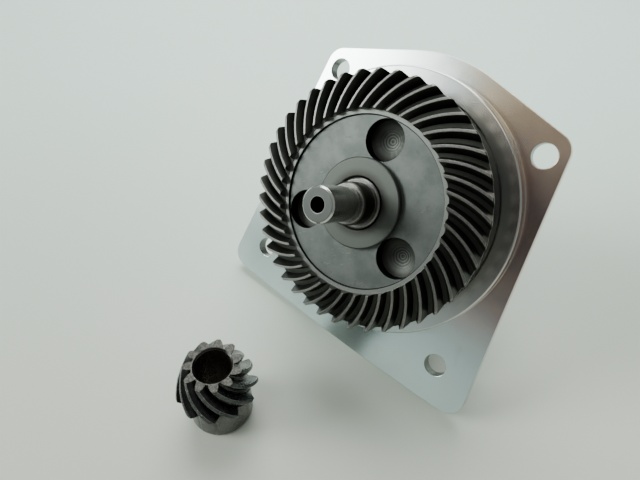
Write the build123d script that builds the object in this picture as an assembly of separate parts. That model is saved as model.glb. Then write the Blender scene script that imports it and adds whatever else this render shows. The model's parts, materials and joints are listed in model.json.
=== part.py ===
from build123d import *
import math
import os

# Spiral bevel gear pair of a grinder head: a cover plate that carries the output spindle
# in a ball bearing, the ring gear on the spindle, and the loose pinion beside it.
# Millimetres. The pieces are drawn on the spindle's own axis: +Z towards the journal end,
# z = 0 on the cover plate's front face, -Y towards the motor side. They are then stood on
# the table, where +Z is up and the cover leans back on its lower edge and the spindle's end.

# Gear data
MODULE = 1.5
RING_TEETH = 41
PINION_TEETH = 11
PRESSURE = math.radians(20)
SPIRAL = math.radians(35)
CUTTER_R = 22.2
FACE_WIDTH = 9.4
FLANK_THINNING = 0.075
THICKER_PINION = 0.4
APEX_Z = 23.4

# Ring gear blank
RIM_Z = 15.8
WEB_Z = 15.2
WEB_R = 20.65
BOSS_R = 10.8
BOSS_Z = 16.8
GEAR_BORE_R = 6.0
GEAR_BACK_Z = 8.2
HEEL_ROUND = 0.6
RING_PHASE = -4.2906
POCKET_PCR = 15.6
POCKET_R = 4.85
POCKET_DEPTH = 3.0
POCKET_PHASE = 92.4

# Pinion
PINION_LENGTH = 20.2
PINION_BORE_R = 4.25
COLLAR_R = 7.85
PINION_PHASE = 5.6603
SHIM_T = 0.3

# Spindle, along its axis
NOSE_Z = 33.4
JOURNAL_R = 4.0
JOURNAL_END_Z = 22.9
RELIEF_Z = 22.2
NECK_R = 5.0
SEAT_END_Z = 17.1
SHOULDER_R = 9.2
BEARING_SEAT_R = 7.5
THREAD_R = 7.0
THREAD_PITCH = 2.0
THREAD_START_Z = -38.0
NOSE_HOLE_R = 1.75
SHOULDER_Z = GEAR_BACK_Z - 0.5
FLAT_ACROSS = 13.0
CLIP_ROOT_R = 7.05
KEY_W = 3.0
KEY_H = 1.5
KEY_L = 6.0
KEY_Z = 12.4

# Ball bearing, 15 x 35 x 11
BEARING_FRONT_Z = 1.8
BEARING_W = 11.0
BEARING_OD_R = 17.5
OUTER_RACE_IN_R = 14.9
INNER_RACE_OUT_R = 9.9
BALL_R = 3.0
BALL_PCR = 12.4
BALL_COUNT = 8
CLIP_T = 1.5
CLIP_Z = BEARING_FRONT_Z - BEARING_W

# Cover plate
PLATE_T = 3.0
SPIGOT_R = 33.9
SPIGOT_Z = 4.4
NOSE_ARC_R = 38.8
NECK_OUT_R = 22.0
NECK_END_Z = -19.0
HOLE_R = 2.8
TOP_HOLES = (28.9, 25.8)
LOW_HOLES = (30.7, -31.1)
SEAL_R = 15.0

# Stance on the table: the cover leans back on its lower rear edge and the spindle's end
LEAN = 59.0
SHIFT_Y = 4.7
TILT = math.radians(LEAN)
LOW_EDGE_Y = -42.2
TABLE_Z = -LOW_EDGE_Y * math.sin(TILT) + PLATE_T * math.cos(TILT)

# Where the loose pinion stands
PINION_X = -5.9
PINION_Y = -52.1

CONE1 = math.atan(PINION_TEETH / RING_TEETH)
CONE2 = math.pi / 2 - CONE1
CONE_DIST = MODULE * RING_TEETH / 2 / math.sin(CONE2)
MEAN_DIST = CONE_DIST - FACE_WIDTH / 2
TOE_DIST = CONE_DIST - FACE_WIDTH
PRESSURE_T = math.atan(math.tan(PRESSURE) / math.cos(SPIRAL))
RING_ADD = 0.46 * MODULE + 0.39 * MODULE * (PINION_TEETH / RING_TEETH) ** 2
PINION_ADD = 1.7 * MODULE - RING_ADD
RING_DED = 1.888 * MODULE - RING_ADD
PINION_DED = 1.888 * MODULE - PINION_ADD
RING_TAPER = math.atan(RING_DED / CONE_DIST)
PINION_TAPER = math.atan(PINION_DED / CONE_DIST)
THICK_SHIFT = (PINION_ADD - RING_ADD) * math.tan(PRESSURE_T) + THICKER_PINION
RING_THICK = math.pi * MODULE / 2 - THICK_SHIFT - FLANK_THINNING
PINION_THICK = math.pi * MODULE / 2 + THICK_SHIFT - FLANK_THINNING


def crown_turn(dist):
    """Angle on the crown gear that the tooth trace turns through from the mean point."""
    def slope(a):
        s = (a * a - MEAN_DIST ** 2 + 2 * MEAN_DIST * CUTTER_R * math.sin(SPIRAL))
        return math.tan(math.asin(s / (2 * a * CUTTER_R))) / a
    steps = 24
    h = (dist - MEAN_DIST) / steps
    total = slope(MEAN_DIST) + slope(dist)
    for i in range(1, steps):
        total += slope(MEAN_DIST + i * h) * (4 if i % 2 else 2)
    return total * h / 3


class Teeth:
    """Spiral bevel teeth about a +Z axis, with the cone's apex at the origin."""

    def __init__(self, teeth, cone, add, ded, add_taper, ded_taper, thick, hand):
        self.teeth, self.cone, self.hand, self.thick = teeth, cone, hand, thick
        self.add, self.ded = add, ded
        self.add_taper, self.ded_taper = math.tan(add_taper), math.tan(ded_taper)

    def addendum(self, dist):
        return self.add - (CONE_DIST - dist) * self.add_taper

    def dedendum(self, dist):
        return self.ded - (CONE_DIST - dist) * self.ded_taper

    def radial(self, dist, h):
        return (dist * math.sin(self.cone) + h * math.cos(self.cone),
                dist * math.cos(self.cone) - h * math.sin(self.cone))

    def gap_half_angle(self, dist, h):
        """Half the gap's angle about the axis, at height h over the pitch cone."""
        pitch = dist * math.tan(self.cone)
        base = pitch * math.cos(PRESSURE_T)
        rho = max(pitch + h, base)
        roll = math.acos(base / rho)
        half = self.thick * dist / CONE_DIST / 2 / pitch
        half += (math.tan(PRESSURE_T) - PRESSURE_T) - (math.tan(roll) - roll)
        return math.pi / self.teeth - half / math.cos(self.cone)

    def trace(self, dist):
        return self.hand * crown_turn(dist) / math.sin(self.cone)

    def flank_point(self, dist, h, side):
        """The flank's point at height h in the plane across the tooth gap at dist."""
        centre = self.trace(dist)
        a, turn = dist, 0.0
        for _ in range(6):
            turn = self.trace(a) + side * self.gap_half_angle(a, h) - centre
            sin2, cos2 = math.sin(self.cone) ** 2, math.cos(self.cone) ** 2
            mix = math.sin(self.cone) * math.cos(self.cone)
            a = (dist + h * mix * (1 - math.cos(turn))) / (sin2 * math.cos(turn) + cos2)
        r, z = self.radial(a, h)
        return Vector(r * math.cos(centre + turn), r * math.sin(centre + turn), z)

    def section(self, dist, over):
        low, high = -self.dedendum(dist), self.addendum(dist) + over
        hs = [low + (high - low) * i / 7 for i in range(8)]
        left = [self.flank_point(dist, h, -1) for h in hs]
        right = [self.flank_point(dist, h, 1) for h in reversed(hs)]
        edges = [Edge.make_spline(left), Edge.make_line(left[-1], right[0]),
                 Edge.make_spline(right), Edge.make_line(right[-1], left[0])]
        return Wire(edges)

    def gap(self, start, end, count, over=0.6):
        dists = [start + (end - start) * i / (count - 1) for i in range(count)]
        return Solid.make_loft([self.section(d, over) for d in dists])

    def gaps(self, start, end, count):
        one = self.gap(start, end, count)
        step = 360 / self.teeth
        return [one.rotate(Axis.Z, i * step) for i in range(self.teeth)]


RING = Teeth(RING_TEETH, CONE2, RING_ADD, RING_DED, PINION_TAPER, RING_TAPER, RING_THICK, 1)
PINION = Teeth(PINION_TEETH, CONE1, PINION_ADD, PINION_DED, RING_TAPER, PINION_TAPER,
               PINION_THICK, -1)


def turned(points):
    """A solid of revolution about Z from (radius, height) points."""
    outline = Polyline(*[(r, 0, z) for r, z in points], close=True)
    return revolve(make_face(outline), Axis.Z)


def ring_of(r_in, r_out, z0, z1):
    return turned([(r_in, z0), (r_out, z0), (r_out, z1), (r_in, z1)])


def broken_ring(r_in, r_out, z0, z1, c):
    """A ring with its four edges broken by c."""
    return turned([(r_in, z0 + c), (r_in + c, z0), (r_out - c, z0), (r_out, z0 + c),
                   (r_out, z1 - c), (r_out - c, z1), (r_in + c, z1), (r_in, z1 - c)])


def ring_gear():
    """Drawn from the cones' apex downwards, then turned over onto the spindle's axis."""
    toe_tip = RING.radial(TOE_DIST, RING.addendum(TOE_DIST))
    heel_round = []
    for degrees in (0, 30, 60, 90):
        along, down = (HEEL_ROUND * (1 - f(math.radians(degrees))) for f in (math.sin, math.cos))
        dist = CONE_DIST - along
        heel_round.append(RING.radial(dist, RING.addendum(dist) - down))
    heel_low = RING.radial(CONE_DIST, -RING_DED - 0.9)
    boss, web, rim, back = (APEX_Z - z for z in (BOSS_Z, WEB_Z, RIM_Z, GEAR_BACK_Z))
    blank = turned([
        (GEAR_BORE_R, boss + 0.5), (GEAR_BORE_R + 0.5, boss), (BOSS_R - 0.25, boss),
        (BOSS_R, boss + 0.25), (BOSS_R, web), (WEB_R, web), (WEB_R, rim),
        (toe_tip[0] - 0.15, rim), toe_tip, *heel_round, heel_low,
        (heel_low[0] - 1.6, back - 2.4), (24.0, back - 1.2), (13.0, back - 1.2),
        (12.0, back), (GEAR_BORE_R, back)])
    pocket = turned([(0, web - 1), (POCKET_R, web - 1), (POCKET_R, web + POCKET_DEPTH),
                     (POCKET_R - 0.7, web + POCKET_DEPTH + 0.25),
                     (0, web + POCKET_DEPTH + 1.7)])
    pockets = [Rot(0, 0, -POCKET_PHASE + RING_PHASE + 120 * i) * Pos(POCKET_PCR, 0, 0) * pocket
               for i in range(3)]
    key_end = APEX_Z - KEY_Z - KEY_L / 2 - 0.2
    slot = Pos(GEAR_BORE_R, 0, (key_end + back + 1) / 2) * Box(2 * KEY_H, KEY_W, back + 1 - key_end)
    slot = Rot(0, 0, RING_PHASE) * slot
    gear = blank.cut(*RING.gaps(TOE_DIST - 1.6, CONE_DIST + 1.6, 7), *pockets, slot)
    return Rot(0, 0, RING_PHASE) * Pos(0, 0, APEX_Z) * Rot(180, 0, 0) * gear


def pinion():
    """Stands on its collar with the small end up, base at z = 0."""
    tip_r, tip_z = PINION.radial(TOE_DIST, PINION.addendum(TOE_DIST))
    heel_tip = PINION.radial(CONE_DIST, PINION_ADD)
    fall = (heel_tip[0] - COLLAR_R) / math.cos(CONE1)
    heel_low = (COLLAR_R, heel_tip[1] + fall * math.sin(CONE1))
    base = tip_z + PINION_LENGTH
    blank = turned([
        (PINION_BORE_R, tip_z + 0.45), (PINION_BORE_R + 0.45, tip_z), (tip_r, tip_z),
        heel_tip, heel_low, (COLLAR_R, base - 0.4), (COLLAR_R - 0.4, base),
        (PINION_BORE_R + 0.4, base), (PINION_BORE_R, base - 0.4)])
    body = blank.cut(*PINION.gaps(TOE_DIST - 1.2, CONE_DIST + 3.6, 10))
    return Pos(0, 0, base) * Rot(180, 0, 0) * body


def spindle():
    """Journal, gear seat, shoulder, bearing seat, wrench flats and threaded end."""
    end_r = THREAD_R - 0.2
    rear = (end_r - TABLE_Z / math.sin(TILT)) * math.tan(TILT) - 0.8
    points = [(0, NOSE_Z), (JOURNAL_R - 0.4, NOSE_Z), (JOURNAL_R, NOSE_Z - 0.4),
              (JOURNAL_R, JOURNAL_END_Z), (JOURNAL_R - 0.3, JOURNAL_END_Z - 0.15),
              (JOURNAL_R - 0.3, RELIEF_Z), (JOURNAL_R + 0.5, RELIEF_Z),
              (NECK_R, RELIEF_Z - 0.5), (NECK_R, SEAT_END_Z), (GEAR_BORE_R - 0.35, SEAT_END_Z),
              (GEAR_BORE_R, SEAT_END_Z - 0.35), (GEAR_BORE_R, SHOULDER_Z),
              (SHOULDER_R, SHOULDER_Z), (SHOULDER_R, BEARING_FRONT_Z),
              (BEARING_SEAT_R, BEARING_FRONT_Z), (BEARING_SEAT_R, CLIP_Z),
              (CLIP_ROOT_R, CLIP_Z), (CLIP_ROOT_R, CLIP_Z - 1.1),
              (BEARING_SEAT_R, CLIP_Z - 1.1), (BEARING_SEAT_R, THREAD_START_Z + 3),
              (THREAD_R - 1.3, THREAD_START_Z + 2), (THREAD_R - 1.3, THREAD_START_Z)]
    z = THREAD_START_Z
    while z - THREAD_PITCH > rear + 1.5:
        points += [(THREAD_R - 0.15, z - 0.85), (THREAD_R - 0.15, z - 1.1),
                   (THREAD_R - 1.25, z - 1.9), (THREAD_R - 1.25, z - THREAD_PITCH)]
        z -= THREAD_PITCH
    points += [(end_r, z - 0.8), (end_r, rear + 0.8),
               (THREAD_R - 1.0, rear), (0, rear)]
    body = turned(points)
    hole = turned([(0, NOSE_Z + 1), (NOSE_HOLE_R, NOSE_Z + 1), (NOSE_HOLE_R, NOSE_Z - 7),
                   (0, NOSE_Z - 8)])
    flat = Box(20, 4, 9)
    flats = [Pos(0, s * (FLAT_ACROSS / 2 + 2), -29.5) * flat for s in (-1, 1)]
    keyway = Pos(GEAR_BORE_R, 0, KEY_Z) * Box(2 * KEY_H, KEY_W, KEY_L)
    return body.cut(hole, *flats, keyway)


def gear_key():
    """Parallel key between spindle and ring gear."""
    return Pos(GEAR_BORE_R, 0, KEY_Z) * Box(2 * KEY_H - 0.2, KEY_W, KEY_L)


def gear_shim():
    return ring_of(GEAR_BORE_R + 0.05, SHOULDER_R - 0.2, SHOULDER_Z, GEAR_BACK_Z)


def plate_outline():
    right = (41.85, -40.8)
    top = (33.3, 30.45)
    apex = (0, 39.75)
    with BuildSketch() as s:
        with BuildLine():
            Polyline(right, top, apex, (-top[0], top[1]), (-right[0], right[1]))
            ThreePointArc((-right[0], right[1]), (0, -42.2), right)
        make_face()
        fillet(s.vertices().filter_by(lambda v: v.Y > 35), NOSE_ARC_R)
        fillet(s.vertices().filter_by(lambda v: 25 < v.Y < 35), 4.6)
        fillet(s.vertices().filter_by(lambda v: v.Y < -35), 4.6)
    return s.sketch


def cover_plate():
    """Flat flange with a turned spigot in front and the bearing's neck behind."""
    plate = Pos(0, 0, -PLATE_T) * extrude(plate_outline(), PLATE_T)
    hub = turned([(0, SPIGOT_Z - 0.9), (29.2, SPIGOT_Z - 0.9), (29.6, SPIGOT_Z),
                  (SPIGOT_R - 0.35, SPIGOT_Z), (SPIGOT_R, SPIGOT_Z - 0.35), (SPIGOT_R, -1),
                  (NECK_OUT_R + 2, -1), (NECK_OUT_R + 2, -PLATE_T - 0.1),
                  (NECK_OUT_R, -PLATE_T - 2.1), (NECK_OUT_R, NECK_END_Z + 0.8),
                  (NECK_OUT_R - 0.8, NECK_END_Z), (0, NECK_END_Z)])
    rear = BEARING_FRONT_Z - BEARING_W
    groove = BEARING_FRONT_Z
    bore = turned([(0, SPIGOT_Z + 1), (BEARING_OD_R + 0.3, SPIGOT_Z + 1),
                   (BEARING_OD_R, SPIGOT_Z - 0.6), (BEARING_OD_R, groove + CLIP_T),
                   (BEARING_OD_R + 1.0, groove + CLIP_T), (BEARING_OD_R + 1.0, groove),
                   (BEARING_OD_R, groove), (BEARING_OD_R, rear), (13.5, rear),
                   (13.5, rear - 2), (SEAL_R, rear - 2), (SEAL_R, NECK_END_Z - 1),
                   (0, NECK_END_Z - 1)])
    spots = [(s * x, y) for x, y in (TOP_HOLES, LOW_HOLES) for s in (-1, 1)]
    holes = [Pos(x, y, 0) * Cylinder(HOLE_R, 20) for x, y in spots]
    return (plate + hub).cut(bore, *holes)


def race_groove():
    """Torus that cuts the ball track, a little larger than the ball."""
    z = BEARING_FRONT_Z - BEARING_W / 2
    return Pos(0, 0, z) * Torus(BALL_PCR, BALL_R + 0.03)


def bearing_outer_race():
    z0, z1 = BEARING_FRONT_Z - BEARING_W, BEARING_FRONT_Z
    body = broken_ring(OUTER_RACE_IN_R, BEARING_OD_R, z0, z1, 0.3)
    return body - race_groove()


def bearing_inner_race():
    z0, z1 = BEARING_FRONT_Z - BEARING_W, BEARING_FRONT_Z
    body = broken_ring(BEARING_SEAT_R, INNER_RACE_OUT_R, z0, z1, 0.3)
    return body - race_groove()


def bearing_shield(z):
    return ring_of(INNER_RACE_OUT_R + 0.15, OUTER_RACE_IN_R, z - 0.15, z + 0.15)


def ball_spot(i):
    return Rot(0, 0, 360 / BALL_COUNT * i) * Pos(BALL_PCR, 0, BEARING_FRONT_Z - BEARING_W / 2)


def bearing_cage():
    z = BEARING_FRONT_Z - BEARING_W / 2
    body = ring_of(BALL_PCR - 0.9, BALL_PCR + 0.9, z - 3.8, z + 3.8)
    pocket = Rot(0, 90, 0) * Cylinder(BALL_R + 0.12, 8)
    return body.cut(*[ball_spot(i) * pocket for i in range(BALL_COUNT)])


def housing_clip():
    """Internal retaining ring in the cover's bore, open at one side with two eyes."""
    z0, z1 = BEARING_FRONT_Z + 0.02, BEARING_FRONT_Z + CLIP_T - 0.05
    body = ring_of(BEARING_OD_R - 1.9, BEARING_OD_R + 0.95, z0, z1)
    for s in (-1, 1):
        eye = Rot(0, 0, 90 + 11 * s) * Pos(BEARING_OD_R - 2.4, 0, (z0 + z1) / 2)
        body = body + eye * Cylinder(1.9, z1 - z0)
        body = body - eye * Cylinder(0.9, 5)
    return body - Pos(0, BEARING_OD_R, z0) * Box(4.4, 9, 5)


def spindle_clip():
    """External retaining ring behind the inner race."""
    body = ring_of(CLIP_ROOT_R, 10.2, CLIP_Z - 1.05, CLIP_Z - 0.02)
    return body - Pos(0, 9, CLIP_Z) * Box(6, 8, 5)


def dust_seal():
    """Rubber lip seal pressed into the neck, its lip just clear of the spindle."""
    z1 = BEARING_FRONT_Z - BEARING_W - 2
    z0 = NECK_END_Z + 2.6
    return turned([(SEAL_R, z0), (SEAL_R, z1), (12.5, z1), (12.2, z0 + 2.0),
                   (9.6, z0 + 2.0), (BEARING_SEAT_R + 0.6, z0 + 3.2),
                   (BEARING_SEAT_R + 0.1, z0 + 3.0), (BEARING_SEAT_R + 0.1, z0 + 2.6),
                   (BEARING_SEAT_R + 0.9, z0)])


def pinion_shim():
    return ring_of(PINION_BORE_R, COLLAR_R - 0.3, 0, SHIM_T)


def stand(shape):
    """From the spindle's own axis to the stance on the table."""
    return Pos(0, SHIFT_Y, TABLE_Z) * Rot(LEAN, 0, 0) * shape


def stand_pinion(shape):
    return Pos(PINION_X, PINION_Y, 0) * shape


def save(name, shape):
    shape.label = name
    export_step(shape, f"parts/{name}.step")


def main():
    os.makedirs("parts", exist_ok=True)
    on_spindle = {
        "cover_plate": cover_plate(), "spindle": spindle(), "ring_gear": ring_gear(),
        "gear_key": gear_key(), "gear_shim": gear_shim(),
        "bearing_outer_race": bearing_outer_race(),
        "bearing_inner_race": bearing_inner_race(),
        "bearing_shield_front": bearing_shield(BEARING_FRONT_Z - 0.6),
        "bearing_shield_rear": bearing_shield(BEARING_FRONT_Z - BEARING_W + 0.6),
        "bearing_cage": bearing_cage(), "housing_clip": housing_clip(),
        "spindle_clip": spindle_clip(), "dust_seal": dust_seal(),
    }
    for i in range(BALL_COUNT):
        on_spindle[f"bearing_ball_{i + 1}"] = ball_spot(i) * Sphere(BALL_R)
    for name, shape in on_spindle.items():
        save(name, stand(shape))
    lifted = Pos(0, 0, SHIM_T) * Rot(0, 0, PINION_PHASE) * pinion()
    save("pinion", stand_pinion(lifted))
    save("pinion_shim", stand_pinion(pinion_shim()))


main()
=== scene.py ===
"""Looks of the bevel gear pair: finishes, rounded edges, studio light and camera."""

import json
import math

import bmesh
import bpy
from mathutils import Matrix, Vector

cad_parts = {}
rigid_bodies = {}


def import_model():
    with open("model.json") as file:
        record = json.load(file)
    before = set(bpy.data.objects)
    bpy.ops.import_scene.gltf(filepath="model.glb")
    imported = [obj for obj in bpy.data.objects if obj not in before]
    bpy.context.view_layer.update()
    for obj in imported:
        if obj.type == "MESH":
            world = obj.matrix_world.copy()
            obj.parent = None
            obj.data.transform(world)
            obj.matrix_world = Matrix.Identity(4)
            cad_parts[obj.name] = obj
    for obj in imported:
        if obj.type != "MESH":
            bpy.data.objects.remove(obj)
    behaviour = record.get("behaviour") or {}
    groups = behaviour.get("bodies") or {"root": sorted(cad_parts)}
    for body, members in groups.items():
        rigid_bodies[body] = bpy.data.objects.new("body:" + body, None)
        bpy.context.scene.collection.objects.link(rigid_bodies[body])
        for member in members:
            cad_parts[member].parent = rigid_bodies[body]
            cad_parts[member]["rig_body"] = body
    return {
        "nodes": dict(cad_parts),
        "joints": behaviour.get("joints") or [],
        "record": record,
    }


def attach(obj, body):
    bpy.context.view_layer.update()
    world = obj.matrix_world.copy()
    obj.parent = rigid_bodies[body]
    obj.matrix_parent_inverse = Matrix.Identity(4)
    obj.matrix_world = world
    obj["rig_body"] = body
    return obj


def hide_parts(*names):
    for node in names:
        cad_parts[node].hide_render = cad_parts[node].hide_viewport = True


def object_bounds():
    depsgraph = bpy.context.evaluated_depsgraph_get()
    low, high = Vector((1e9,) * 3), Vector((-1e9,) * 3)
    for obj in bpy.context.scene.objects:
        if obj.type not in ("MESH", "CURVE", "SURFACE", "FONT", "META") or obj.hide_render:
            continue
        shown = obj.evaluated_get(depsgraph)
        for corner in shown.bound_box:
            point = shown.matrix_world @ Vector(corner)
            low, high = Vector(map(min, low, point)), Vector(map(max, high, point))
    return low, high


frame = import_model()
cad_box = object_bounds()

MM = 0.001
SEAM = 2e-6
FLAT_ANGLE = math.radians(0.5)
SHARP_ANGLE = math.radians(32)
JOINTS = {j["name"]: j for j in frame["joints"]}
NODES = frame["nodes"]

# Ring gear, in its own frame: millimetres, z along the spindle towards the journal
MODULE = 1.5
RING_TEETH = 41
PINION_TEETH = 11
APEX_Z = 23.4
CONE = math.atan(RING_TEETH / PINION_TEETH)
CONE_DIST = MODULE * RING_TEETH / 2 / math.sin(CONE)
# Radius and z at the two ends of a tooth's tip, the heel's before its corner is rounded
HEEL_TIP = (30.94, 15.86)
TOE_TIP = (21.79, 18.0)
RIM_Z = 15.8
WEB_Z = 15.2
WEB_R = 20.65
BOSS_R = 10.8
# Heights over which the rear's plain finish gives way to the front's
FRONT_Z = (12.2, 13.0)
POCKET_PCR = 15.6
POCKET_R = 4.85
POCKET_PHASE = 92.4
POCKETS = [
    (POCKET_PCR * math.cos(math.radians(a)), POCKET_PCR * math.sin(math.radians(a)))
    for a in (POCKET_PHASE, POCKET_PHASE + 120, POCKET_PHASE + 240)
]
# Spindle, in the same frame
NOSE_Z = 33.4
JOURNAL_END_Z = 22.9
SEAT_END_Z = 17.1
# Cover plate, in the same frame
SPIGOT_R = 33.9
HOLE_R = 2.8
PLATE_HOLES = [(s * x, y) for x, y in ((28.9, 25.8), (30.7, -31.1)) for s in (-1, 1)]
# Pinion, in its own frame: z up from the table. Its tips are also given as radius and z.
PINION_TOE = (6.97, 20.5)
PINION_HEEL = (10.0, 11.58)
PINION_BORE_R = 4.25
COLLAR_R = 7.85

SPIN_AT = Vector(JOINTS["spindle_spin"]["pos_m"])
SPIN_AXIS = Vector(JOINTS["spindle_spin"]["axis"])
LEAN = math.atan2(-SPIN_AXIS.y, SPIN_AXIS.z)
PINION_AT = Vector(JOINTS["pinion_spin"]["pos_m"])

# Colours of the cover plate
ZINC = ((0.64, 0.70, 0.69), (0.74, 0.75, 0.72))
PINK = ((0.74, 0.585, 0.56), (0.84, 0.64, 0.57))
STRAW = (0.82, 0.64, 0.43)
SEA_GREEN = (0.56, 0.70, 0.675)
STAIN = (0.52, 0.54, 0.54)
SPIGOT_GREY = (0.44, 0.46, 0.44)
# Painted shade on the walls of the plate's bolt holes
HOLE_WALL_SHADE = (0.20, 0.205, 0.20)
# Colours of the ring gear
WEB = ((0.080, 0.089, 0.083), (0.112, 0.121, 0.114))
SCUFF = (0.060, 0.062, 0.056)
SCRATCH = (0.24, 0.25, 0.235)
BOSS = (0.082, 0.088, 0.080)
# Partly painted shade around the neck on the boss, partly a brown oil stain
OIL_AND_NECK_SHADE = (0.030, 0.028, 0.024)
RIM = (0.15, 0.155, 0.145)
# Painted shade: a black line along the web's edge, where it drops below the rim
STEP_SHADE = (0.012, 0.012, 0.012)
DRILLED = ((0.025, 0.026, 0.023), (0.070, 0.074, 0.068))
# Painted shade towards the walls of the web's pockets
POCKET_CORNER_SHADE = (0.02, 0.02, 0.018)
RING_FLANK = ((0.060, 0.063, 0.055), (0.090, 0.093, 0.082))
# Painted shade deep in the ring's tooth gaps
RING_ROOT_SHADE = (0.020, 0.021, 0.018)
RING_LAND = ((0.14, 0.138, 0.131), (0.21, 0.208, 0.198))
# Painted highlight along the edges of the ring's lands
LAND_EDGE_HIGHLIGHT = (0.32, 0.315, 0.30)
HEEL = (0.40, 0.40, 0.385)
RING_REAR = (0.12, 0.125, 0.12)
# Colours of the spindle
GROUND = ((0.55, 0.55, 0.52), (0.64, 0.635, 0.60))
DULL = ((0.13, 0.13, 0.12), (0.20, 0.20, 0.19))
NECK = (0.045, 0.040, 0.034)
NOSE_FACE = (0.075, 0.079, 0.075)
# Centre hole in the nose: painted shade, near black at its bottom, lighter at its mouth
NOSE_HOLE_SHADE = ((0.02, 0.02, 0.02), (0.22, 0.22, 0.205))
# Colours of the pinion
PINION_FLANK = ((0.030, 0.031, 0.031), (0.056, 0.057, 0.056))
PINION_LAND = ((0.050, 0.052, 0.052), (0.085, 0.088, 0.09))
PINION_TOP = ((0.105, 0.103, 0.094), (0.050, 0.049, 0.044))
COLLAR = ((0.100, 0.100, 0.093), (0.135, 0.134, 0.124))
# Painted highlight along the edges of the pinion's lands
PINION_EDGE_HIGHLIGHT = (0.34, 0.345, 0.345)
PINION_BORE = (0.24, 0.205, 0.185)
# Colours of the seal and the table
RUBBER = ((0.018, 0.018, 0.019), (0.07, 0.068, 0.062))
# Table colours: darker and warmer near the camera as painted shade, lighter away from it
TABLE_NEAR_SHADED = (0.525, 0.540, 0.470)
TABLE_AWAY_LIT = ((0.632, 0.785, 0.700), (0.658, 0.810, 0.726))

# Studio: sky at the horizon and overhead
HORIZON = (0.34, 0.36, 0.34)
OVERHEAD = (0.41, 0.44, 0.42)
WORLD_STRENGTH = 0.75
# Patches of it: direction, degrees to where it is full and to where it is gone, colour
PATCHES = [
    ((0.15, -0.80, 0.52), 15, 36, (0.19, 0.155, 0.14)),  # dim warm wall in front
    ((-0.02, -0.92, 0.36), 6, 17, (0.02, 0.018, 0.016)),  # dark patch in that wall
    ((-0.68, -0.63, 0.43), 7, 18, (24.0, 25.6, 25.0)),  # window to the left
    ((-0.05, -0.42, 0.90), 6, 16, (5.5, 5.8, 5.6)),  # pale ceiling
]
# Patches that show near the horizon only
LOW_PATCHES = [
    ((-0.3, -0.9, 0.0), 30, 80, (0.46, 0.53, 0.51)),
    ((-0.22, -0.97, 0.03), 6, 22, (1.05, 1.21, 1.19)),
]
LOW_SKY = (0.24, 0.04)
TABLE_HALF = 3.0

# Camera, in metres of the row frame
CAMERA_EYE = Vector((0.04777, -0.08057, 0.11943))
CAMERA_FORWARD = Vector((-0.44745, 0.54357, -0.71015))
CAMERA_RIGHT = Vector((0.75061, 0.65996, 0.03221))
CAMERA_LENS = 26.9
CAMERA_SENSOR = 36.0
CAMERA_NEAR = 0.005


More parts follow.
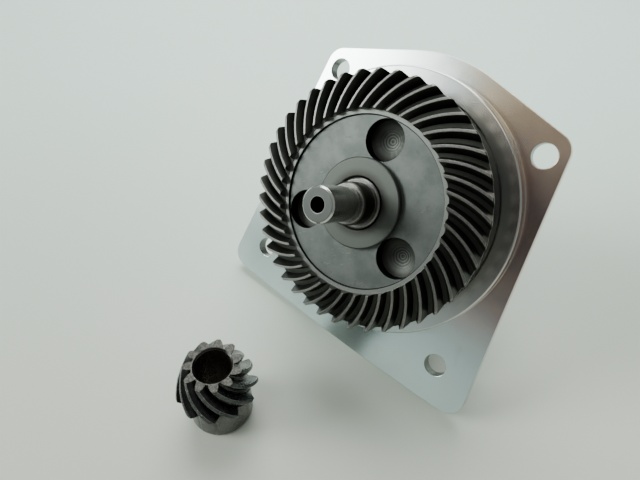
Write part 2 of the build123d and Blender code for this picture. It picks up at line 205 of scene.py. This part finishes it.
class Nodes:
    """A node tree and the few words that surfaces and the studio are written in."""

    # Sockets of a colour mix: its share and two colours, and its result
    COLOUR_MIX_INPUTS = (0, 6, 7)
    COLOUR_MIX_OUTPUT = 2

    def __init__(self, tree):
        self.tree = tree

    def node(self, kind, **settings):
        made = self.tree.nodes.new(kind)
        for key, value in settings.items():
            setattr(made, key, value)
        return made

    def put(self, socket, value):
        if isinstance(value, bpy.types.NodeSocket):
            self.tree.links.new(value, socket)
        elif socket.type == "RGBA" and len(value) == 3:
            socket.default_value = (*value, 1.0)
        else:
            socket.default_value = value

    def calc(self, operation, *values):
        made = self.node("ShaderNodeMath", operation=operation)
        for socket, value in zip(made.inputs, values):
            self.put(socket, value)
        return made.outputs[0]

    def add(self, a, b):
        return self.calc("ADD", a, b)

    def mul(self, a, b):
        return self.calc("MULTIPLY", a, b)

    def ramp(self, value, low, high):
        """0 below low, 1 above high, smooth between; falls instead where high is under low."""
        made = self.node("ShaderNodeMapRange", interpolation_type="SMOOTHSTEP", clamp=True)
        falls = high < low
        self.put(made.inputs["Value"], value)
        self.put(made.inputs["From Min"], min(low, high))
        self.put(made.inputs["From Max"], max(low, high))
        self.put(made.inputs["To Min"], 1.0 if falls else 0.0)
        self.put(made.inputs["To Max"], 0.0 if falls else 1.0)
        return made.outputs["Result"]

    def band(self, value, low, high, soft):
        """1 between low and high, 0 outside them."""
        rise = self.ramp(value, low - soft, low + soft)
        return self.mul(rise, self.ramp(value, high + soft, high - soft))

    def scaled(self, value, to_low, to_high, low=0.0, high=1.0):
        """The value carried in a straight line from low..high to to_low..to_high."""
        made = self.node("ShaderNodeMapRange", clamp=True)
        for name, number in (("Value", value), ("From Min", low), ("From Max", high),
                             ("To Min", to_low), ("To Max", to_high)):
            self.put(made.inputs[name], number)
        return made.outputs["Result"]

    def mix(self, share, a, b):
        made = self.node("ShaderNodeMix", data_type="RGBA", clamp_factor=True)
        for index, value in zip(self.COLOUR_MIX_INPUTS, (share, a, b)):
            self.put(made.inputs[index], value)
        return made.outputs[self.COLOUR_MIX_OUTPUT]

    def tint(self, colour, mask, other, amount=1.0):
        """The colour moved towards another, by the amount where the mask is 1."""
        return self.mix(mask if amount == 1.0 else self.mul(mask, amount), colour, other)

    def blend(self, value, pair, low=0.3, high=0.7):
        """The first colour of a pair where the value is low, the second where it is high."""
        return self.mix(self.ramp(value, low, high), *pair)

    def noise(self, vector, scale, detail=3.0, rough=0.55, distortion=0.0):
        made = self.node("ShaderNodeTexNoise")
        self.put(made.inputs["Vector"], vector)
        self.put(made.inputs["Scale"], scale)
        self.put(made.inputs["Detail"], detail)
        self.put(made.inputs["Roughness"], rough)
        self.put(made.inputs["Distortion"], distortion)
        return made.outputs["Fac"]

    def specks(self, vector, scale):
        made = self.node("ShaderNodeTexVoronoi")
        self.put(made.inputs["Vector"], vector)
        self.put(made.inputs["Scale"], scale)
        return made.outputs["Distance"]

    def place(self, at, lean=0.0):
        """The surface point in millimetres, in a frame at a point of the row, leant about X."""
        coords = self.node("ShaderNodeTexCoord")
        mapping = self.node("ShaderNodeMapping", vector_type="TEXTURE")
        self.put(mapping.inputs["Vector"], coords.outputs["Object"])
        self.put(mapping.inputs["Location"], at)
        self.put(mapping.inputs["Rotation"], (lean, 0.0, 0.0))
        self.put(mapping.inputs["Scale"], (MM, MM, MM))
        return mapping.outputs["Vector"]

    def split(self, vector):
        made = self.node("ShaderNodeSeparateXYZ")
        self.put(made.inputs[0], vector)
        return made.outputs

    def join(self, x, y, z):
        made = self.node("ShaderNodeCombineXYZ")
        for socket, value in zip(made.inputs, (x, y, z)):
            self.put(socket, value)
        return made.outputs[0]

    def radius(self, x, y):
        return self.calc("SQRT", self.add(self.mul(x, x), self.mul(y, y)))

    def nearest(self, x, y, centres):
        """Distance to the nearest of some centres."""
        least = None
        for at_x, at_y in centres:
            distance = self.radius(self.add(x, -at_x), self.add(y, -at_y))
            least = distance if least is None else self.calc("MINIMUM", least, distance)
        return least

    def bump(self, height, depth_mm, normal=None):
        made = self.node("ShaderNodeBump")
        self.put(made.inputs["Strength"], 1.0)
        self.put(made.inputs["Distance"], depth_mm * MM)
        self.put(made.inputs["Height"], height)
        if normal is not None:
            self.put(made.inputs["Normal"], normal)
        return made.outputs["Normal"]


class Finish(Nodes):
    """A material, metal unless it says otherwise."""

    def __init__(self, name, metallic=1.0):
        self.material = bpy.data.materials.new(name)
        self.material.use_nodes = True
        super().__init__(self.material.node_tree)
        self.shader = self.tree.nodes["Principled BSDF"]
        self.shader.inputs["Metallic"].default_value = metallic

    def finish(self, colour, rough, normal=None):
        self.put(self.shader.inputs["Base Color"], colour)
        self.put(self.shader.inputs["Roughness"], rough)
        if normal is not None:
            self.put(self.shader.inputs["Normal"], normal)
        return self.material


def on_spindle(f):
    """Point, x, y, z and radius in the spindle's frame."""
    point = f.place(SPIN_AT, LEAN)
    x, y, z = f.split(point)
    return point, x, y, z, f.radius(x, y)


def lathe_marks(f, along, about, scale):
    """Fine rings left by a turning tool: noise along one coordinate, hardly changing round the part."""
    return f.noise(f.join(along, f.mul(about, 0.02), 0.0), scale, detail=4.0, rough=0.7)


def zinc_plate():
    """Bright zinc: satin grey, pink to the right, straw at the upper right and sea green low down, with
    painted shade on the bolt holes' walls.
    """
    f = Finish("zinc_plate")
    point, x, y, z, r = on_spindle(f)
    cloud = f.noise(point, 0.055)
    stain = f.ramp(f.noise(point, 0.16, detail=5.0, distortion=0.6), 0.56, 0.75)
    drift = f.mul(f.add(f.noise(point, 0.07, distortion=0.8), -0.5), 26.0)
    drift_x, drift_y = f.add(x, drift), f.add(y, drift)
    on_spigot = f.ramp(r, SPIGOT_R + 0.3, SPIGOT_R - 0.1)

    colour = f.blend(cloud, ZINC, 0.35, 0.7)
    rosy = f.mul(f.ramp(drift_x, 4.0, 30.0), f.ramp(drift_y, -26.0, -4.0))
    rosy = f.mul(rosy, f.scaled(on_spigot, 1.0, 0.45))
    streak = f.noise(f.join(f.mul(x, 0.5), f.mul(y, 1.6), z), 0.16, detail=4.0, distortion=0.5)
    colour = f.tint(colour, rosy, f.blend(streak, PINK, 0.35, 0.65), 0.85)
    straw = f.mul(f.ramp(drift_x, 0.0, 13.0), f.ramp(drift_y, 16.0, 34.0))
    colour = f.tint(colour, straw, STRAW, 0.75)
    sea = f.ramp(f.add(y, f.mul(drift, 0.6)), -10.0, -26.0)
    colour = f.tint(colour, sea, SEA_GREEN, 0.7)
    colour = f.tint(colour, stain, STAIN, 0.25)
    colour = f.tint(colour, on_spigot, SPIGOT_GREY, 0.55)
    hole = f.nearest(x, y, PLATE_HOLES)
    # Painted shade: the bolt holes' walls are darkened
    colour = f.tint(colour, f.ramp(hole, HOLE_R + 0.12, HOLE_R + 0.03), HOLE_WALL_SHADE)

    grain = f.noise(point, 1.6, detail=4.0, rough=0.6)
    wave = f.noise(point, 0.12, detail=1.0)
    turned = f.mul(on_spigot, lathe_marks(f, f.add(r, z), x, 2.4))
    rough = f.scaled(cloud, 0.20, 0.25, 0.3, 0.7)
    height = f.add(f.mul(grain, 0.006), f.add(f.mul(wave, 2.0), f.mul(turned, 0.02)))
    return f.finish(colour, rough, f.bump(height, 0.006))


def pocket_floor(f, point, to_pocket):
    """Drill rings on a pocket's floor: their height, and the colour that goes with it, darkened with
    painted shade towards the pocket's wall.
    """
    rings = f.calc("SINE", f.add(f.mul(to_pocket, 9.5), f.mul(f.noise(point, 0.9), 5.0)))
    rings = f.mul(rings, f.ramp(f.add(to_pocket, f.noise(point, 0.35)), 3.9, 2.0))
    tone = f.mix(f.scaled(rings, 0.0, 1.0, -1.0, 1.0), *DRILLED)
    # Painted shade: the floor darkens towards the pocket's wall
    return rings, f.tint(tone, f.ramp(to_pocket, 3.2, 4.6), POCKET_CORNER_SHADE)


def ring_web(f, point, x, y, z, r, cloud):
    """Colour of the gear's smooth face: web and boss, with a painted shade line where the web drops
    below the rim, and a dark ring around the neck that is partly painted shade, partly a brown oil
    stain.
    """
    web = f.blend(cloud, WEB)
    scuffed = f.ramp(f.noise(point, 0.7, detail=6.0, rough=0.65, distortion=0.8), 0.58, 0.68)
    web = f.tint(web, scuffed, SCUFF, 0.4)
    across = f.add(f.mul(x, 0.35), f.mul(y, 0.3))
    long_way = f.join(across, f.add(f.mul(x, -2.2), f.mul(y, 2.6)), 0.0)
    where = f.ramp(f.noise(point, 0.12, detail=1.0), 0.48, 0.6)
    scratch = f.noise(long_way, 0.55, detail=2.0, rough=0.5, distortion=2.2)
    web = f.tint(web, f.mul(f.ramp(scratch, 0.66, 0.70), where), SCRATCH, 0.4)
    web = f.tint(web, f.ramp(r, BOSS_R + 0.1, BOSS_R - 0.1), BOSS)
    # Dark ring round the neck on the boss: partly painted shade, partly a brown oil stain
    web = f.tint(web, f.ramp(r, 8.8, 6.2), OIL_AND_NECK_SHADE, 0.75)
    web = f.tint(web, f.ramp(r, WEB_R - 0.02, WEB_R + 0.04), RIM)
    # Painted shade along the web's edge, where it drops below the rim
    step_shade = f.mul(f.ramp(r, WEB_R - 0.28, WEB_R - 0.18), f.ramp(z, RIM_Z - 0.03, RIM_Z - 0.1))
    return f.tint(web, step_shade, STEP_SHADE)


def ring_teeth(f, z, r, below_tip, cloud, grain):
    """Colour of the gear's teeth: dark flanks with painted shade towards the roots, brighter lands with
    painted highlights along their edges, and a bare heel.
    """
    up_cone = f.mul(f.calc("SUBTRACT", APEX_Z, z), math.cos(CONE))
    cone_dist = f.add(f.mul(r, math.sin(CONE)), up_cone)
    heel = f.ramp(cone_dist, CONE_DIST - 0.12, CONE_DIST - 0.03)
    # Painted shade: the flanks darken towards the roots of the gaps
    flank = f.tint(f.blend(cloud, RING_FLANK), f.ramp(below_tip, 0.6, 2.4), RING_ROOT_SHADE, 0.8)
    land = f.ramp(below_tip, 0.16, 0.05)
    tooth = f.tint(flank, land, f.blend(grain, RING_LAND, 0.35, 0.65))
    # Painted highlight: a bright line along the edges of the lands
    tooth = f.tint(tooth, f.band(below_tip, 0.02, 0.08, 0.015), LAND_EDGE_HIGHLIGHT)
    return f.tint(tooth, heel, HEEL, 0.85)


def ring_gear_steel():
    f = Finish("ring_gear_steel")
    point, x, y, z, r = on_spindle(f)
    slope = (TOE_TIP[1] - HEEL_TIP[1]) / (HEEL_TIP[0] - TOE_TIP[0])
    tip_z = f.calc("MULTIPLY_ADD", r, -slope, HEEL_TIP[1] + slope * HEEL_TIP[0])
    below_tip = f.calc("SUBTRACT", tip_z, z)
    grain = f.noise(point, 3.2, detail=4.0, rough=0.6)
    cloud = f.noise(point, 0.22, detail=4.0)
    in_teeth = f.ramp(r, TOE_TIP[0] - 0.2, TOE_TIP[0] - 0.02)

    web = ring_web(f, point, x, y, z, r, cloud)
    to_pocket = f.nearest(x, y, POCKETS)
    in_pocket = f.ramp(to_pocket, POCKET_R + 0.15, POCKET_R - 0.02)
    drilled, floor_tone = pocket_floor(f, point, to_pocket)
    web = f.tint(web, f.mul(in_pocket, f.ramp(z, WEB_Z - 0.05, WEB_Z - 0.4)), floor_tone)
    colour = f.tint(web, in_teeth, ring_teeth(f, z, r, below_tip, cloud, grain))
    front = f.calc("MAXIMUM", f.ramp(z, *FRONT_Z), in_pocket)
    colour = f.mix(front, RING_REAR, colour)

    rough = f.add(f.scaled(grain, 0.42, 0.54, 0.3, 0.7), f.mul(in_teeth, -0.08))
    marks = lathe_marks(f, r, x, 3.4)
    hammered = f.noise(point, 1.3)
    height = f.add(f.mul(marks, 0.25), f.add(f.mul(grain, 0.25), f.mul(hammered, 0.5)))
    height = f.add(height, f.mul(in_pocket, f.mul(drilled, 0.6)))
    return f.finish(colour, rough, f.bump(height, 0.010))


def spindle_steel():
    """Ground journal, dark relief behind it, and the dull rest."""
    f = Finish("spindle_steel")
    point, x, _, z, r = on_spindle(f)
    grain = f.noise(point, 3.5, detail=4.0, rough=0.6)
    cloud = f.noise(point, 0.4, detail=4.0)
    journal = f.ramp(z, JOURNAL_END_Z - 0.6, JOURNAL_END_Z - 0.4)
    face = f.mul(f.ramp(z, NOSE_Z - 0.1, NOSE_Z - 0.02), f.ramp(r, 1.7, 1.9))
    relief = f.band(z, SEAT_END_Z + 0.05, JOURNAL_END_Z - 0.9, 0.1)
    colour = f.tint(f.blend(grain, DULL, 0.35, 0.65), journal, f.blend(cloud, GROUND))
    colour = f.tint(colour, relief, NECK)
    colour = f.tint(colour, face, NOSE_FACE)
    hole = f.mul(f.ramp(r, 1.85, 1.76), f.ramp(z, NOSE_Z - 9, NOSE_Z - 8.5))
    # Painted shade: the centre hole darkens with depth
    colour = f.tint(colour, hole, f.blend(z, NOSE_HOLE_SHADE, NOSE_Z - 2.2, NOSE_Z - 0.2))
    rough = f.calc("MULTIPLY_ADD", journal, -0.12, f.scaled(grain, 0.30, 0.38, 0.3, 0.7))
    rough = f.add(rough, f.mul(face, 0.22))
    marks = lathe_marks(f, f.add(z, r), x, 4.5)
    return f.finish(colour, rough, f.bump(f.add(marks, f.mul(grain, 0.3)), 0.0016))


def pinion_steel():
    """Dark flanks, painted highlights along the land edges, a granular small end, and a smooth collar
    and bore.
    """
    f = Finish("pinion_steel")
    point = f.place(PINION_AT)
    x, y, z = f.split(point)
    r = f.radius(x, y)
    slope = (PINION_HEEL[0] - PINION_TOE[0]) / (PINION_TOE[1] - PINION_HEEL[1])
    tip_r = f.calc("MULTIPLY_ADD", z, -slope, PINION_TOE[0] + slope * PINION_TOE[1])
    below_tip = f.calc("SUBTRACT", tip_r, r)
    grain = f.noise(point, 3.0, detail=4.0, rough=0.65)
    speck = f.specks(point, 2.6)
    cloud = f.noise(point, 0.5, detail=4.0)
    in_teeth = f.ramp(z, PINION_HEEL[1] - 0.4, PINION_HEEL[1])
    land = f.mul(f.ramp(below_tip, 0.14, 0.05), in_teeth)
    # Painted highlight: a bright line along the edges of the lands
    edge_highlight = f.mul(f.band(below_tip, 0.05, 0.13, 0.02), in_teeth)
    top = f.ramp(z, PINION_TOE[1] - 0.1, PINION_TOE[1] - 0.03)
    collar = f.mul(f.ramp(z, 10.9, 9.2), f.ramp(r, COLLAR_R - 0.3, COLLAR_R - 0.05))
    bore = f.ramp(r, PINION_BORE_R + 0.12, PINION_BORE_R + 0.02)

    colour = f.tint(f.blend(cloud, PINION_FLANK), land, f.blend(cloud, PINION_LAND, 0.35, 0.65))
    colour = f.tint(colour, edge_highlight, PINION_EDGE_HIGHLIGHT)
    colour = f.tint(colour, collar, f.blend(cloud, COLLAR, 0.35, 0.65))
    granules = f.add(f.mul(speck, 0.6), f.mul(grain, 0.6))
    colour = f.tint(colour, top, f.blend(granules, PINION_TOP, 0.4, 0.75))
    colour = f.tint(colour, bore, PINION_BORE)

    rough = f.add(f.scaled(grain, 0.22, 0.34, 0.3, 0.7), f.mul(top, 0.2))
    height = f.add(f.mul(grain, 0.12), f.mul(top, f.mul(speck, 1.2)))
    height = f.add(height, f.mul(collar, f.mul(lathe_marks(f, z, x, 3.0), 0.15)))
    return f.finish(colour, rough, f.bump(height, 0.012))


def plain_steel(name, low, high, rough, marks=3.5):
    """Ground or pressed steel of the hidden pieces, with rings from the spindle's axis."""
    f = Finish(name)
    point, x, _, z, r = on_spindle(f)
    grain = f.noise(point, 2.5, detail=4.0, rough=0.6)
    cloud = f.noise(point, 0.3, detail=4.0)
    colour = f.blend(cloud, (low, high))
    shine = f.scaled(grain, rough - 0.06, rough + 0.08, 0.3, 0.7)
    rings = lathe_marks(f, f.add(r, z), x, marks)
    return f.finish(colour, shine, f.bump(f.add(rings, f.mul(grain, 0.5)), 0.002))


def seal_rubber():
    f = Finish("seal_rubber", metallic=0.0)
    point, *_, r = on_spindle(f)
    grain = f.noise(point, 2.2, detail=5.0, rough=0.7)
    dust = f.ramp(f.noise(point, 0.6, detail=4.0), 0.5, 0.75)
    colour = f.mix(f.mul(dust, 0.5), *RUBBER)
    height = f.add(grain, f.mul(f.calc("SINE", f.mul(r, 7.0)), 0.5))
    return f.finish(colour, f.scaled(grain, 0.55, 0.75, 0.3, 0.7), f.bump(height, 0.02))


FINISHES = {
    "zinc_plate": zinc_plate(),
    "ring_gear_steel": ring_gear_steel(),
    "pinion_steel": pinion_steel(),
    "spindle_steel": spindle_steel(),
    "ground_steel": plain_steel("ground_steel", (0.38, 0.39, 0.38), (0.50, 0.51, 0.50), 0.3),
    "bearing_steel": plain_steel(
        "bearing_steel", (0.52, 0.53, 0.53), (0.62, 0.63, 0.62), 0.18, marks=6.0
    ),
    "shield_steel": plain_steel(
        "shield_steel", (0.44, 0.44, 0.42), (0.58, 0.58, 0.56), 0.34, marks=2.0
    ),
    "spring_steel": plain_steel("spring_steel", (0.045, 0.045, 0.047), (0.09, 0.088, 0.085), 0.38),
    "seal_rubber": seal_rubber(),
}
# Nodes whose finish isn't the one named like their slot
OWN_FINISH = {"spindle": "spindle_steel"}

# Width in millimetres of the broken edges of each node that has them
EDGE_BREAKS = {
    "cover_plate": 0.16,
    "ring_gear": 0.07,
    "pinion": 0.14,
    "spindle": 0.08,
    "bearing_outer_race": 0.08,
    "bearing_inner_race": 0.08,
    "housing_clip": 0.12,
    "spindle_clip": 0.12,
    "dust_seal": 0.12,
    "pinion_shim": 0.05,
}


def merged_copy(node):
    """The node's mesh with its seams joined and its flat triangles made one face."""
    mesh = node.data.copy()
    custom = mesh.attributes.get("custom_normal")
    if custom is not None:
        mesh.attributes.remove(custom)
    work = bmesh.new()
    work.from_mesh(mesh)
    bmesh.ops.remove_doubles(work, verts=work.verts, dist=SEAM)
    bmesh.ops.dissolve_limit(
        work, angle_limit=FLAT_ANGLE, verts=work.verts, edges=work.edges
    )
    for face in work.faces:
        face.smooth = True
    work.to_mesh(mesh)
    work.free()
    mesh.set_sharp_from_angle(angle=SHARP_ANGLE)
    return mesh


def round_edges(name, width_mm):
    """A copy of a CAD node with its sharp edges broken, so that they catch the light."""
    node = NODES[name]
    rounded = bpy.data.objects.new(name + "_rounded", merged_copy(node))
    bpy.context.scene.collection.objects.link(rounded)
    bevel = rounded.modifiers.new("edge_break", "BEVEL")
    bevel.width = width_mm * MM
    bevel.segments = 2
    bevel.limit_method = "ANGLE"
    bevel.angle_limit = SHARP_ANGLE
    bevel.use_clamp_overlap = False
    bevel.harden_normals = True
    bpy.context.view_layer.update()
    evaluated = rounded.evaluated_get(bpy.context.evaluated_depsgraph_get())
    rounded.data = bpy.data.meshes.new_from_object(evaluated)
    rounded.modifiers.clear()
    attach(rounded, node["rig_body"])
    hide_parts(name)
    return rounded


def dress():
    slots = {s["node"]: s["material_slot"] for s in frame["record"]["subparts"]}
    for name, node in NODES.items():
        shown = round_edges(name, EDGE_BREAKS[name]) if name in EDGE_BREAKS else node
        shown.data.materials.clear()
        shown.data.materials.append(FINISHES[OWN_FINISH.get(name, slots[name])])


def floor():
    """The pale table, which isn't part of the object: darker and warmer near the camera as painted
    shade, lighter and greener away from it.
    """
    f = Finish("table_top", metallic=0.0)
    coords = f.node("ShaderNodeTexCoord").outputs["Object"]
    cloud = f.noise(coords, 3.0)
    grain = f.noise(coords, 900.0, detail=2.0)
    x, y, _ = f.split(coords)
    # Painted shade: the table darkens and warms towards the camera
    away = f.ramp(f.add(f.mul(y, 0.77), f.mul(x, -0.64)), -0.10, 0.16)
    colour = f.mix(away, TABLE_NEAR_SHADED, f.blend(cloud, TABLE_AWAY_LIT))
    table = f.finish(colour, f.scaled(grain, 0.42, 0.5, 0.3, 0.7), f.bump(grain, 0.004))
    mesh = bpy.data.meshes.new("table_top")
    signs = ((-1, -1), (1, -1), (1, 1), (-1, 1))
    corners = [(sx * TABLE_HALF, sy * TABLE_HALF, 0) for sx, sy in signs]
    mesh.from_pydata(corners, [], [(0, 1, 2, 3)])
    plane = bpy.data.objects.new("table_top", mesh)
    plane.data.materials.append(table)
    bpy.context.scene.collection.objects.link(plane)


def area_light(name, towards, distance, size, power, colour):
    """A square softbox on the given side of the object, aimed at its middle."""
    lamp = bpy.data.lights.new(name, "AREA")
    lamp.size = size
    lamp.energy = power
    lamp.color = colour
    made = bpy.data.objects.new(name, lamp)
    middle = (cad_box[0] + cad_box[1]) / 2
    direction = Vector(towards).normalized()
    made.location = middle + direction * distance
    made.rotation_mode = "QUATERNION"
    made.rotation_quaternion = direction.to_track_quat("Z", "Y")
    bpy.context.scene.collection.objects.link(made)


def patch(f, direction, centre, inner, outer):
    """1 within inner degrees of a centre, falling to 0 at outer degrees."""
    made = f.node("ShaderNodeVectorMath", operation="DOT_PRODUCT")
    f.put(made.inputs[0], direction)
    f.put(made.inputs[1], Vector(centre).normalized())
    nearness = made.outputs["Value"]
    return f.ramp(nearness, math.cos(math.radians(outer)), math.cos(math.radians(inner)))


def studio():
    """A soft room with a window, a wall and a ceiling, and a softbox above and behind."""
    world = bpy.data.worlds.new("studio")
    bpy.context.scene.world = world
    world.use_nodes = True
    f = Nodes(world.node_tree)
    direction = f.node("ShaderNodeTexCoord").outputs["Generated"]
    z = f.split(direction)[2]
    room = f.blend(z, (HORIZON, OVERHEAD), 0.05, 0.75)
    for centre, inner, outer, colour in PATCHES:
        room = f.tint(room, patch(f, direction, centre, inner, outer), colour)
    low = f.ramp(z, *LOW_SKY)
    for centre, inner, outer, colour in LOW_PATCHES:
        room = f.tint(room, f.mul(low, patch(f, direction, centre, inner, outer)), colour)
    background = world.node_tree.nodes["Background"]
    f.put(background.inputs["Color"], room)
    f.put(background.inputs["Strength"], WORLD_STRENGTH)
    area_light("key", towards=(-0.50, 0.62, 0.90), distance=0.60, size=0.50, power=5.4,
               colour=(0.97, 1.0, 0.985))


def camera():
    """The camera stands close above the pinion's side, a little rolled."""
    up = CAMERA_RIGHT.cross(CAMERA_FORWARD)
    data = bpy.data.cameras.new("camera")
    data.sensor_width = CAMERA_SENSOR
    data.lens = CAMERA_LENS
    data.clip_start = CAMERA_NEAR
    made = bpy.data.objects.new("camera", data)
    made.matrix_world = Matrix((CAMERA_RIGHT, up, -CAMERA_FORWARD)).transposed().to_4x4()
    made.location = CAMERA_EYE
    bpy.context.scene.collection.objects.link(made)
    bpy.context.scene.camera = made


dress()
floor()
studio()
camera()
